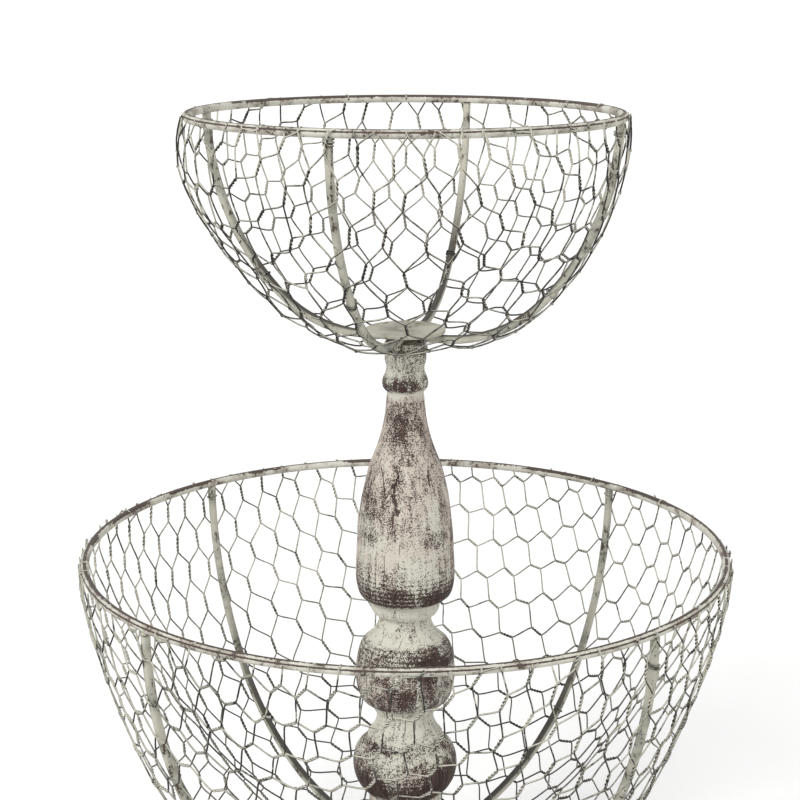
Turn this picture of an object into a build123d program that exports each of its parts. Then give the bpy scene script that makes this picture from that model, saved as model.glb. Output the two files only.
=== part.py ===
from build123d import *
import math
import os

# Two-tier wire basket. All sizes in mm, +Z up, origin at the bottom centre of the wooden foot.

# Rims and ribs: rod rings, and bars bent round into a bowl
rim_rod = 5.5
rim_sides = 8
rim_turn = 180 / rim_sides
rib_width = 5.0
rib_depth = 6.0
rib_count = 4
weld_gap = 0.1

# Lower bowl
lower_rim_radius = 210.2
lower_bowl_depth = 221.0
lower_bend_turn = 62.0
lower_rib_turn = 43.5
lower_net_turn = 135.0

# Upper bowl
upper_rim_radius = 137.25
upper_bowl_depth = 146.0
upper_bend_turn = 45.0
upper_rib_turn = 71.5
upper_net_turn = 90.0

# Plates that clamp the ribs in the middle of each bowl
disc_thickness = 2.5
disc_margin = 1.0
upper_disc_radius = 26.0
lower_disc_radius = 34.0
rib_hole_margin = 5.0

# Wire netting, dressed down outside the ribs
net_cell = 44.0
net_wire = 1.6
net_gap = 0.35
lower_net_bulge = 8.0
lower_net_pull = 30.0
upper_net_bulge = 14.0
upper_net_pull = 14.0
net_hub_gap = 2.0
snap_share = 0.35

# Turned foot
foot_radius = 100.0
foot_height = 55.0
foot_chamfer = 3.0
foot_edge = 14.0
foot_step = 5.0
foot_lip_width = 7.0
foot_lip_height = 6.0
foot_top_radius = 28.0
foot_top_height = 7.0
foot_neck_radius = 24.5

# Turned spindle, from the lower plate up to the ribs of the upper bowl
rim_spacing = 287.0
base_radius = 24.6
base_height = 41.0
bead_radius = 35.4
bead_height = 38.0
bead_end_radius = 25.5
shoulder_height = 3.5
low_cove_height = 14.5
neck_radius = 18.9
neck_height = 1.0
low_ring_radius = 21.8
low_ring_height = 7.0
low_ring_curl = 5.5
ball_radius = 33.3
ball_height = 46.0
ball_low_radius = 23.5
ball_high_radius = 25.5
ball_middle_share = 0.46
high_cove_height = 15.0
waist_radius = 17.3
waist_height = 1.0
high_ring_radius = 23.2
high_ring_height = 12.8
high_ring_curl = 7.5
bottle_radius = 32.9
bottle_low_radius = 27.0
bottle_flank_radius = 24.0
throat_radius = 12.4
bottle_widest_share = 0.136
bottle_flank_share = 0.656
collar_bead_radius = 15.1
collar_bead_height = 11.0
collar_waist_radius = 12.2
collar_radius = 13.5
collar_height = 21.0
collar_edge = 14.0

# Centre fasteners
rod_radius = 4.0
rod_fit = 0.05
turning_fit = 0.08
rod_hold = 45.0
rod_tail = 1.5
nut_flats = 13.0
nut_height = 6.5
washer_radius = 12.0
washer_thickness = 1.6
recess_radius = 15.0
recess_spare = 1.5
screw_radius = 2.5
screw_fit = 0.05
screw_head_radius = 5.5
screw_length = 40.0

# Heights of the stack
recess_depth = washer_thickness + nut_height + rod_tail + recess_spare
lower_rim_height = foot_height + lower_bowl_depth
upper_rim_height = lower_rim_height + rim_spacing
spindle_bottom = foot_height + rib_depth + disc_thickness
spindle_top = upper_rim_height - upper_bowl_depth
lower_flat = lower_disc_radius + disc_margin
upper_flat = upper_disc_radius + disc_margin


def bowl_radii(half_width, depth, bend):
    """The two arcs of a bowl's side view: one turns by bend from flat, the other on to upright."""
    sine, cosine = math.sin(math.radians(bend)), math.cos(math.radians(bend))
    share = sine * cosine - (1 - sine) * (1 - cosine)
    low = (half_width * cosine - depth * (1 - sine)) / share
    high = (depth * sine - half_width * (1 - cosine)) / share
    return low, high


def rib(rim_radius, rim_height, depth, flat, bend, turn):
    """One rib of a bowl: a bar from under the plate out and up to the rim, coped to the rim rod."""
    low, high = bowl_radii(rim_radius + rib_depth / 2 - flat, depth, bend)
    start = rod_radius + rib_hole_margin
    side = Plane((0, 0, rim_height), x_dir=(1, 0, 0), z_dir=(0, -1, 0)).rotated((0, 0, turn))
    with BuildPart() as bar:
        with BuildSketch(side):
            with BuildLine():
                under = Line((start, -depth), (flat, -depth))
                outer_low = JernArc(under @ 1, (1, 0), low, bend)
                outer_high = JernArc(outer_low @ 1, outer_low % 1, high, 90 - bend)
                over = Line((start, rib_depth - depth), (flat, rib_depth - depth))
                inner_low = JernArc(over @ 1, (1, 0), low - rib_depth, bend)
                inner_high = JernArc(inner_low @ 1, inner_low % 1, high - rib_depth, 90 - bend)
                Line(under @ 0, over @ 0)
                Line(outer_high @ 1, inner_high @ 1)
            make_face()
        extrude(amount=rib_width / 2, both=True)
        with BuildSketch(Plane.XZ) as rod:
            with Locations((rim_radius, rim_height)):
                RegularPolygon(rim_rod / 2 + weld_gap, rim_sides, major_radius=False, rotation=rim_turn)
        revolve(axis=Axis.Z, mode=Mode.SUBTRACT)
        with Locations((0, 0, rim_height - rim_rod / 4)):
            Cylinder(
                rim_radius + rib_depth,
                rib_depth,
                align=(Align.CENTER, Align.CENTER, Align.MIN),
                mode=Mode.SUBTRACT,
            )
    return bar.part


def rim(rim_radius, rim_height):
    """A bowl's rim: one ring of rod."""
    with BuildPart() as ring:
        with BuildSketch(Plane.XZ):
            with Locations((rim_radius, rim_height)):
                RegularPolygon(rim_rod / 2, rim_sides, major_radius=False, rotation=rim_turn)
        revolve(axis=Axis.Z)
    return ring.part


def netting(rim_radius, rim_height, depth, flat, bend, hub, net_turn, rib_turn, bulge, pull):
    """Hexagonal wire netting as one solid, a flat sheet dressed down over the outside of the ribs.

    The sheet's hexagons are laid out flat, then each corner is carried to the same distance along the
    bowl's side view. Between ribs it stands out below the rim and is pulled straight lower down. Twisted
    pairs are twice as wide as single wires. Every wire has three sides, with its ridge to the ribs, and
    ends beside the top of the rim or round the hub."""
    low, high = bowl_radii(rim_radius + rib_depth / 2 - flat, depth, bend)
    bent = math.radians(bend)
    arc = low * bent + high * (math.pi / 2 - bent)
    reach = flat + arc + rim_rod / 2
    side = net_cell / math.sqrt(3)
    row = side + side / 2
    sag = side**2 / (8 * low)
    rib_step = math.radians(360 / rib_count)

    def on_bowl(spot, inset):
        along = math.hypot(*spot)
        around = math.atan2(spot[1], spot[0]) + math.radians(net_turn)
        past = max(along - flat, 0)
        slope = past / low if past < low * bent else min(bent + (past - low * bent) / high, math.pi / 2)
        radius = min(along, flat) + low * math.sin(min(slope, bent))
        height = low * (1 - math.cos(min(slope, bent))) - depth
        if slope > bent:
            radius += high * (math.sin(slope) - math.sin(bent))
            height += high * (math.cos(bent) - math.cos(slope)) + max(past - arc, 0)
        from_rib = abs((around - math.radians(rib_turn) + rib_step / 2) % rib_step - rib_step / 2)
        between_ribs = math.sin(rib_count / 2 * max(from_rib - side / 2 / radius, 0)) ** 2
        share = min(past / arc, 1)
        form = bulge * math.sin(math.pi * share**3) - pull * math.sin(math.pi * share)
        lift = net_gap + sag + net_wire + between_ribs * form - inset
        radius += lift * math.sin(slope)
        return (
            radius * math.cos(around),
            radius * math.sin(around),
            rim_height + height - lift * math.cos(slope),
        )

    rows = int(reach / row) + 2
    columns = 2 * int(reach / net_cell) + 4
    spots = {}
    for j in range(-rows, rows + 1):
        for i in range(-columns, columns + 1):
            if (i + j) % 2 == 0:
                spots[i, j, 0] = (j * row - side / 2, i * net_cell / 2)
                spots[i, j, 1] = (j * row + side / 2, i * net_cell / 2)
    wires = [((i, j, 0), (i, j, 1)) for i, j, end in spots if end]
    wires += [
        ((i, j, 1), (i + step, j + 1, 0))
        for i, j, end in spots
        for step in (-1, 1)
        if end and (i + step, j + 1, 0) in spots
    ]

    # Corners near an edge are drawn onto it, and a wire that crosses an edge ends there
    snap = snap_share * side
    place = {}
    inside = set()
    for name, spot in spots.items():
        along = math.hypot(*spot)
        for edge in (hub, reach):
            if abs(along - edge) <= snap:
                place[name] = tuple(c * edge / along for c in spot)
        if hub + snap < along < reach - snap:
            place[name] = spot
            inside.add(name)
    around = {}
    for a, b in wires:
        if a not in inside and b not in inside:
            continue
        if a in inside and b not in place:
            a, b = b, a
        if a not in place:
            edge = hub if math.hypot(*spots[a]) < hub else reach
            near, far = spots[b], spots[a]
            for _ in range(30):
                middle = ((near[0] + far[0]) / 2, (near[1] + far[1]) / 2)
                beyond = (math.hypot(*middle) < edge) == (edge == hub)
                near, far = (near, middle) if beyond else (middle, far)
            a = (a, b)
            place[a] = near
        twisted = len(a) == 3 and a[:2] == b[:2] or len(a) == 2 and a[0][:2] == b[:2]
        for one, other in ((a, b), (b, a)):
            around.setdefault(one, []).append((other, net_wire if twisted else net_wire / 2))

    ridge = {name: on_bowl(place[name], net_wire) for name in around}
    corner = {}
    panels = []
    for name, joined in around.items():
        x, y = place[name]
        spokes = sorted(
            (math.atan2(place[other][1] - y, place[other][0] - x), half, other) for other, half in joined
        )
        ring = []
        for (a, half_a, to_a), (b, half_b, to_b) in zip(spokes, spokes[1:] + spokes[:1]):
            if len(spokes) == 1:
                for turned, key in ((1, "left"), (-1, "right")):
                    spot = (x - turned * half_a * math.sin(a), y + turned * half_a * math.cos(a))
                    corner[name, to_a, key] = on_bowl(spot, 0)
                ends = corner[name, to_a, "left"], corner[name, to_a, "right"]
                panels.append((ends[0], ridge[name], ends[1]))
                break
            opening = b - a
            out = (half_b + half_a * math.cos(opening)) / math.sin(opening)
            spot = (
                x + out * math.cos(a) - half_a * math.sin(a),
                y + out * math.sin(a) + half_a * math.cos(a),
            )
            corner[name, to_a, "left"] = corner[name, to_b, "right"] = on_bowl(spot, 0)
            ring.append(corner[name, to_a, "left"])
        if len(ring) == 3:
            panels.append(tuple(ring))
    for name, joined in around.items():
        for other, _ in joined:
            if ridge[name] < ridge[other]:
                left, right = corner[name, other, "left"], corner[name, other, "right"]
                far_right, far_left = corner[other, name, "left"], corner[other, name, "right"]
                near_ridge, far_ridge = ridge[name], ridge[other]
                panels += [(right, far_right, far_left), (right, far_left, left)]
                panels += [(left, far_left, far_ridge), (left, far_ridge, near_ridge)]
                panels += [(near_ridge, far_ridge, far_right), (near_ridge, far_right, right)]
    return Solid(Shell([Face(Wire.make_polygon(panel)) for panel in panels]))


os.makedirs("parts", exist_ok=True)

# Foot: a stepped edge with a rounded lip, a cove and a short neck, with a recess below for the nut
step_radius = foot_radius - foot_step
cove_reach = step_radius - foot_lip_width
cove_height = foot_height - foot_top_height
lip_top = foot_edge + foot_lip_height
with BuildPart() as foot:
    with BuildSketch(Plane.XZ):
        with BuildLine():
            edge = Polyline(
                (rod_radius + rod_fit, foot_height),
                (rod_radius + rod_fit, recess_depth),
                (recess_radius, recess_depth),
                (recess_radius, 0),
                (foot_radius - foot_chamfer, 0),
                (foot_radius, foot_chamfer),
                (foot_radius, foot_edge),
                (step_radius, foot_edge),
            )
            TangentArc((cove_reach, lip_top), edge @ 1, tangent=(1, 0))
            cove = EllipticalCenterArc(
                (cove_reach, cove_height),
                x_radius=cove_reach - foot_neck_radius,
                y_radius=cove_height - lip_top,
                start_angle=180,
                arc_size=90,
            )
            Polyline(
                cove @ 0,
                (foot_top_radius, cove_height),
                (foot_top_radius, foot_height),
                edge @ 0,
            )
        make_face()
    revolve(axis=Axis.Z)
foot.part.label = "foot"
export_step(foot.part, "parts/foot.step")

# Spindle: turned in one piece, base, bead, ball, bottle and collar, with coves and curled rings between
bead_foot = spindle_bottom + base_height
shoulder_foot = bead_foot + bead_height
low_cove_foot = shoulder_foot + shoulder_height
neck_foot = low_cove_foot + low_cove_height
low_ring_foot = neck_foot + neck_height
ball_foot = low_ring_foot + low_ring_height
ball_middle = ball_foot + ball_height * ball_middle_share
high_cove_foot = ball_foot + ball_height
waist_foot = high_cove_foot + high_cove_height
high_ring_foot = waist_foot + waist_height
bottle_foot = high_ring_foot + high_ring_height
collar_foot = spindle_top - collar_height
throat_top = collar_foot - collar_bead_height
bottle_height = throat_top - bottle_foot
bottle_middle = bottle_foot + bottle_height * bottle_widest_share
bottle_flank = (bottle_flank_radius, bottle_foot + bottle_height * bottle_flank_share)
bore_top = spindle_bottom + rod_hold + recess_spare
with BuildPart() as spindle:
    with BuildSketch(Plane.XZ):
        with BuildLine():
            base = Polyline(
                (0, bore_top),
                (rod_radius + rod_fit, bore_top),
                (rod_radius + rod_fit, spindle_bottom),
                (base_radius, spindle_bottom),
                (base_radius, bead_foot),
                (bead_end_radius, bead_foot),
            )
            ThreePointArc(
                base @ 1,
                (bead_radius, bead_foot + bead_height / 2),
                (bead_end_radius, shoulder_foot),
            )
            shoulder = Line((bead_end_radius, shoulder_foot), (bead_end_radius, low_cove_foot))
            TangentArc((neck_radius, neck_foot), shoulder @ 1, tangent=(0, -1))
            Line((neck_radius, neck_foot), (neck_radius, low_ring_foot))
            low_ring = EllipticalCenterArc(
                (neck_radius, low_ring_foot + low_ring_curl),
                x_radius=low_ring_radius - neck_radius,
                y_radius=low_ring_curl,
                start_angle=-90,
                arc_size=90,
            )
            Polyline(low_ring @ 1, (low_ring_radius, ball_foot), (ball_low_radius, ball_foot))
            EllipticalCenterArc(
                (ball_low_radius, ball_middle),
                x_radius=ball_radius - ball_low_radius,
                y_radius=ball_middle - ball_foot,
                start_angle=-90,
                arc_size=90,
            )
            ball_top = EllipticalCenterArc(
                (ball_high_radius, ball_middle),
                x_radius=ball_radius - ball_high_radius,
                y_radius=high_cove_foot - ball_middle,
                start_angle=0,
                arc_size=90,
            )
            TangentArc((waist_radius, waist_foot), ball_top @ 1, tangent=(0, -1))
            Line((waist_radius, waist_foot), (waist_radius, high_ring_foot))
            high_ring = EllipticalCenterArc(
                (waist_radius, high_ring_foot + high_ring_curl),
                x_radius=high_ring_radius - waist_radius,
                y_radius=high_ring_curl,
                start_angle=-90,
                arc_size=90,
            )
            Polyline(high_ring @ 1, (high_ring_radius, bottle_foot), (bottle_low_radius, bottle_foot))
            belly = EllipticalCenterArc(
                (bottle_low_radius, bottle_middle),
                x_radius=bottle_radius - bottle_low_radius,
                y_radius=bottle_middle - bottle_foot,
                start_angle=-90,
                arc_size=90,
            )
            flank = TangentArc(belly @ 1, bottle_flank, tangent=(0, 1))
            TangentArc((throat_radius, throat_top), flank @ 1, tangent=(0, -1))
            ThreePointArc(
                (throat_radius, throat_top),
                (collar_bead_radius, collar_foot - collar_bead_height / 2),
                (collar_waist_radius, collar_foot),
            )
            Polyline(
                (collar_waist_radius, collar_foot),
                (collar_radius, spindle_top - collar_edge),
                (collar_radius, spindle_top),
                (screw_radius, spindle_top),
                (screw_radius, spindle_top - screw_length),
                (0, spindle_top - screw_length - screw_radius),
                (0, bore_top),
            )
        make_face()
    revolve(axis=Axis.Z)
spindle.part.label = "spindle"
export_step(spindle.part, "parts/spindle.step")

# Tie rod, washer and nut hold the foot, the lower bowl and the spindle together
rod_bottom = recess_depth - washer_thickness - nut_height - rod_tail
with BuildPart() as tie_rod:
    with Locations((0, 0, rod_bottom)):
        Cylinder(
            rod_radius,
            spindle_bottom + rod_hold - rod_bottom,
            align=(Align.CENTER, Align.CENTER, Align.MIN),
        )
tie_rod.part.label = "tie_rod"
export_step(tie_rod.part, "parts/tie_rod.step")

with BuildPart() as foot_washer:
    with BuildSketch(Plane.XY.offset(recess_depth - washer_thickness)):
        Circle(washer_radius)
        Circle(rod_radius + rod_fit, mode=Mode.SUBTRACT)
    extrude(amount=washer_thickness)
foot_washer.part.label = "foot_washer"
export_step(foot_washer.part, "parts/foot_washer.step")

with BuildPart() as foot_nut:
    with BuildSketch(Plane.XY.offset(recess_depth - washer_thickness - nut_height)):
        RegularPolygon(nut_flats / 2, 6, major_radius=False)
        Circle(rod_radius + rod_fit, mode=Mode.SUBTRACT)
    extrude(amount=nut_height)
foot_nut.part.label = "foot_nut"
export_step(foot_nut.part, "parts/foot_nut.step")

# Screw through the upper plate into the top of the spindle
screw_top = spindle_top + rib_depth + disc_thickness
with BuildPart() as top_screw:
    with BuildSketch(Plane.XZ):
        with BuildLine():
            Polyline(
                (0, screw_top),
                (screw_head_radius, screw_top),
                (screw_radius - screw_fit, screw_top - disc_thickness),
                (screw_radius - screw_fit, screw_top - screw_length),
                (0, screw_top - screw_length - screw_radius),
                (0, screw_top),
            )
        make_face()
    revolve(axis=Axis.Z)
top_screw.part.label = "top_screw"
export_step(top_screw.part, "parts/top_screw.step")

# Plates
with BuildPart() as lower_disc:
    with BuildSketch(Plane.XY.offset(foot_height + rib_depth)):
        Circle(lower_disc_radius)
        Circle(rod_radius + turning_fit, mode=Mode.SUBTRACT)
    extrude(amount=disc_thickness)
lower_disc.part.label = "lower_disc"
export_step(lower_disc.part, "parts/lower_disc.step")

with BuildPart() as upper_disc:
    with BuildSketch(Plane.XZ):
        with BuildLine():
            Polyline(
                (screw_head_radius + turning_fit, screw_top),
                (upper_disc_radius, screw_top),
                (upper_disc_radius, screw_top - disc_thickness),
                (screw_radius + turning_fit, screw_top - disc_thickness),
                (screw_head_radius + turning_fit, screw_top),
            )
        make_face()
    revolve(axis=Axis.Z)
upper_disc.part.label = "upper_disc"
export_step(upper_disc.part, "parts/upper_disc.step")

# The two bowls
tiers = (
    (
        "lower",
        lower_rim_radius,
        lower_rim_height,
        lower_bowl_depth,
        lower_flat,
        lower_bend_turn,
        lower_rib_turn,
        lower_net_turn,
        foot_top_radius + net_hub_gap,
        lower_net_bulge,
        lower_net_pull,
    ),
    (
        "upper",
        upper_rim_radius,
        upper_rim_height,
        upper_bowl_depth,
        upper_flat,
        upper_bend_turn,
        upper_rib_turn,
        upper_net_turn,
        collar_radius + net_hub_gap,
        upper_net_bulge,
        upper_net_pull,
    ),
)
for tier, rim_radius, rim_height, depth, flat, bend, rib_turn, net_turn, hub, bulge, pull in tiers:
    ring = rim(rim_radius, rim_height)
    ring.label = f"{tier}_rim"
    export_step(ring, f"parts/{tier}_rim.step")
    for count in range(rib_count):
        turn = rib_turn + count * 360 / rib_count
        bar = rib(rim_radius, rim_height, depth, flat, bend, turn)
        bar.label = f"{tier}_rib_{count + 1}"
        export_step(bar, f"parts/{tier}_rib_{count + 1}.step")
    net = netting(rim_radius, rim_height, depth, flat, bend, hub, net_turn, rib_turn, bulge, pull)
    net.label = f"{tier}_net"
    export_step(net, f"parts/{tier}_net.step")
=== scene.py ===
import math
import random

import bpy
from bpy.props import FloatProperty, FloatVectorProperty, IntProperty, PointerProperty
from mathutils import Euler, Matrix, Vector, noise


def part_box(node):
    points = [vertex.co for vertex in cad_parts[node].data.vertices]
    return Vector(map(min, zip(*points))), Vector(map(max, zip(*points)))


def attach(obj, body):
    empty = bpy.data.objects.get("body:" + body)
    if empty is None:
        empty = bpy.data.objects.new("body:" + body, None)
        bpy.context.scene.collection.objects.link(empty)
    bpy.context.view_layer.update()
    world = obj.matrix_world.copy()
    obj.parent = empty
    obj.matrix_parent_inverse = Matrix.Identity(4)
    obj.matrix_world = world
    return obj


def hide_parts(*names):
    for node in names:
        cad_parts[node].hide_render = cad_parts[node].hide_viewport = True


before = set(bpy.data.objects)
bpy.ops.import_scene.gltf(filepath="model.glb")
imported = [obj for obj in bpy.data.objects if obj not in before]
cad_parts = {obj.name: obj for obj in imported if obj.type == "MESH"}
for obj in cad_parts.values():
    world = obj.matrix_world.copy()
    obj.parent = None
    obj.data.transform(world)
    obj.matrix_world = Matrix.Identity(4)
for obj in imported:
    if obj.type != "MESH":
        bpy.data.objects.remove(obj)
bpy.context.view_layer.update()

bl_info = {
    "name": "Tiered wire basket",
    "version": (1, 1, 0),
    "blender": (4, 5, 0),
    "location": "3D View > Sidebar > Basket",
    "description": "Dresses the tiered wire basket: netting, ribs, rims, turned wood and stage",
    "category": "Object",
}

MM = 0.001
ROD = 5.5 * MM
TIERS = ("lower", "upper")
RIBS = 4

# How the netting lies on a bowl: how far each side of a rib it is held, how high it ripples, over what
# length below the rim it is tucked in, and by how much
RIB_HOLD = 10 * MM
RIPPLE = 2.4 * MM
RIM_TAPER = 12 * MM
RIM_TUCK = 0.7 * MM


def rim_size(tier, rod):
    """Radius of the rim's centre line and its height, from the frame."""
    low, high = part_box(f"{tier}_rim")
    return (high[0] - low[0]) / 2 - rod / 2, (high[2] + low[2]) / 2


def bowl_depth(tier):
    """From the rim's centre line to the underside of the ribs, from the frame."""
    return rim_size(tier, ROD)[1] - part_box(f"{tier}_rib_1")[0][2]


def length(name, description, default):
    return FloatProperty(name=name, description=description, default=default, unit="LENGTH")


def angle(name, description, degrees):
    return FloatProperty(name=name, description=description, default=math.radians(degrees), subtype="ANGLE")


def colour(name, description, value):
    return FloatVectorProperty(
        name=name, description=description, default=(*value, 1), size=4, min=0, max=1, subtype="COLOR"
    )


class BasketSizes(bpy.types.PropertyGroup):
    """Sizes of the dressed basket."""

    rim_rod: length("Rim rod", "Diameter of the rim rods", ROD)
    rib_width: length("Rib width", "Width of a rib seen from inside the bowl", 5 * MM)
    rib_depth: length("Rib depth", "Thickness of a rib from inside to outside", 6 * MM)
    lower_depth: length("Lower depth", "Lower rim's middle to its ribs' underside", bowl_depth("lower"))
    upper_depth: length("Upper depth", "Upper rim's middle to its ribs' underside", bowl_depth("upper"))
    lower_flat: length("Lower flat", "Radius of the flat middle of the lower ribs", 35 * MM)
    upper_flat: length("Upper flat", "Radius of the flat middle of the upper ribs", 27 * MM)
    lower_bend: angle("Lower bend", "Turn of the low arc of the lower ribs", 62)
    upper_bend: angle("Upper bend", "Turn of the low arc of the upper ribs", 45)
    lower_rib_turn: angle("Lower rib turn", "Where the first lower rib stands round the bowl", 43.5)
    upper_rib_turn: angle("Upper rib turn", "Where the first upper rib stands round the bowl", 71.5)
    lower_net_turn: angle("Lower net turn", "Direction of the twisted pairs in the lower sheet", 135)
    upper_net_turn: angle("Upper net turn", "Direction of the twisted pairs in the upper sheet", 90)
    lower_bulge: length("Lower bulge", "How far the lower netting stands out below the rim", 8 * MM)
    upper_bulge: length("Upper bulge", "How far the upper netting stands out below the rim", 14 * MM)
    lower_pull: length("Lower pull", "How far the lower netting is pulled straight between ribs", 36 * MM)
    upper_pull: length("Upper pull", "How far the upper netting is pulled straight between ribs", 14 * MM)
    lower_sway: length("Lower sway", "How far the twists of the lower netting stray", 3.6 * MM)
    upper_sway: length("Upper sway", "How far the twists of the upper netting stray", 5.2 * MM)
    lower_hub: length("Lower hub", "Radius where the lower netting ends", 30 * MM)
    upper_hub: length("Upper hub", "Radius where the upper netting ends", 15.7 * MM)
    net_wire: length("Net wire", "Diameter of the netting wire", 1.12 * MM)
    net_cell: length("Net opening", "Distance from one twisted pair to the next", 28 * MM)
    net_row: length("Net row", "Distance from one row of twisted pairs to the next", 23.8 * MM)
    net_twist: length("Twist", "Length of a twisted pair", 8.4 * MM)
    net_ease: FloatProperty(name="Ease", description="How gently a wire leaves its twist", default=0.5)
    net_half_turns: IntProperty(name="Half turns", description="Half turns in a pair, odd", default=3)
    net_gap: length("Net gap", "Space between the ribs and the netting", 0.35 * MM)
    plate_round: length("Plate edge", "Rounding of the plates' edges", 0.6 * MM)
    wood_wobble: length("Wood wobble", "How far the turned wood strays from round", 0.35 * MM)


class BasketFinish(bpy.types.PropertyGroup):
    """Colours of the basket and its stage."""

    whitewash: colour("Whitewash", "Dry-brushed wash on the wood", (0.65, 0.635, 0.545))
    rosy_wash: colour("Thin wash", "Wash so thin that the wood warms it", (0.62, 0.548, 0.475))
    bare_wood: colour("Bare wood", "Dark stained wood under the wash", (0.032, 0.018, 0.015))
    worn_wood: colour("Worn wood", "Lighter rubbed wood", (0.095, 0.060, 0.050))
    cream_paint: colour("Cream paint", "Paint on the ribs", (0.56, 0.545, 0.455))
    sage_paint: colour("Sage paint", "Greener, duller patches of the metal paint", (0.36, 0.36, 0.30))
    rim_paint: colour("Rim paint", "Paler paint on the rim rods", (0.67, 0.655, 0.575))
    thin_paint: colour("Thin paint", "Rim paint worn thin over brown metal", (0.43, 0.395, 0.34))
    # Painted shade: the dark colour laid low inside the bowls, where shade falls
    painted_shade: colour("Painted shade", "Dark dirt settled low in the bowls", (0.042, 0.038, 0.031))
    rubbed_metal: colour("Rubbed metal", "Brown metal where the paint is rubbed off", (0.083, 0.062, 0.050))
    wire_paint: colour("Wire paint", "Paint left on the netting wire", (0.56, 0.54, 0.455))
    wire_bare: colour("Bare wire", "Weathered netting wire", (0.024, 0.020, 0.018))
    plate_paint: colour("Plate paint", "Dull paint on the round plates", (0.55, 0.535, 0.445))
    plate_stain: colour("Plate stain", "Darker stains on the round plates", (0.38, 0.365, 0.30))
    zinc: colour("Zinc", "Zinc plated fasteners", (0.55, 0.56, 0.58))
    floor: colour("Floor", "Floor and backdrop", (0.90, 0.90, 0.895))


def sizes():
    return bpy.context.scene.basket_sizes


def finish():
    return bpy.context.scene.basket_finish


# Mesh helpers


def spot_at(radius, turn, height):
    """The point at a turn round the upright axis."""
    return Vector((radius * math.cos(turn), radius * math.sin(turn), height))


def squarish(turn, power):
    """The point at a turn round a square with soft corners; a power of one gives a circle."""
    c, d = math.cos(turn), math.sin(turn)
    return math.copysign(abs(c) ** power, c), math.copysign(abs(d) ** power, d)


def band_faces(rings, around):
    """Four-sided faces between rings of points."""
    faces = []
    for i in range(rings - 1):
        for k in range(around):
            a, b = i * around + k, i * around + (k + 1) % around
            faces.append((a, b, b + around, a + around))
    return faces


def mesh_piece(name, points, faces, material, slot, body, replaced=()):
    """A smooth mesh object that rides on a body and may stand for CAD nodes."""
    mesh = bpy.data.meshes.new(name)
    mesh.from_pydata(points, [], faces)
    mesh.validate()
    mesh.update()
    mesh.polygons.foreach_set("use_smooth", [True] * len(mesh.polygons))
    mesh.materials.append(material)
    piece = bpy.data.objects.new(name, mesh)
    bpy.context.scene.collection.objects.link(piece)
    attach(piece, body)
    if replaced:
        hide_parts(*replaced)
    return piece


class Strands:
    """Round wires gathered into one mesh."""

    def __init__(self, sides):
        self.points, self.faces, self.sides = [], [], sides

    def add(self, path, radius, closed=False):
        """Sweep a ring along a path; each ring turns as little as it can from the one before."""
        count, sides = len(path), self.sides
        tangents = []
        for i in range(count):
            before = path[i - 1] if i or closed else path[0]
            after = path[(i + 1) % count] if i < count - 1 or closed else path[-1]
            tangents.append((after - before).normalized())
        across = tangents[0].orthogonal().normalized()
        first = len(self.points)
        for place, tangent in zip(path, tangents):
            across = (across - tangent * across.dot(tangent)).normalized()
            up = tangent.cross(across)
            for k in range(sides):
                turn = math.tau * k / sides
                self.points.append(place + (across * math.cos(turn) + up * math.sin(turn)) * radius)
        for i in range(count if closed else count - 1):
            here, there = first + i * sides, first + (i + 1) % count * sides
            for k in range(sides):
                after = (k + 1) % sides
                self.faces.append((here + k, here + after, there + after, there + k))
        if not closed:
            self.faces.append(tuple(first + k for k in reversed(range(sides))))
            self.faces.append(tuple(first + (count - 1) * sides + k for k in range(sides)))


def lathe(outline, around, wobble=0.0, seed=0.0):
    """Turn an outline of (radius, height) round the upright axis, a little out of round."""
    points = []
    for radius, height in outline:
        for k in range(around):
            place = spot_at(radius, math.tau * k / around, height)
            broad = noise.noise(place * 45 + Vector((seed, 0, 0)))
            fine = noise.noise(place * 260 + Vector((0, seed, 0)))
            grow = 1 + wobble * (broad + 0.3 * fine) / radius
            points.append(Vector((place.x * grow, place.y * grow, height)))
    return points, band_faces(len(outline), around)


def smooth_outline(stations, step):
    """Curves through stations of (radius, height); a third value marks a sharp turn."""
    outline = []
    run = []
    for station in stations:
        run.append(Vector(station[:2]))
        if len(station) < 3 or len(run) < 2:
            continue
        for i in range(len(run) - 1):
            a, b = run[i], run[i + 1]
            before = run[i - 1] if i else 2 * a - b
            after = run[i + 2] if i + 2 < len(run) else 2 * b - a
            pieces = max(1, round((b - a).length / step))
            for k in range(pieces):
                t = k / pieces
                cubic = 2 * a + (b - before) * t + (2 * before - 5 * a + 4 * b - after) * t**2
                outline.append(0.5 * (cubic + (3 * a - before - 3 * b + after) * t**3))
        run = [run[-1]]
    return [tuple(spot) for spot in outline] + [tuple(run[-1])]


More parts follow.
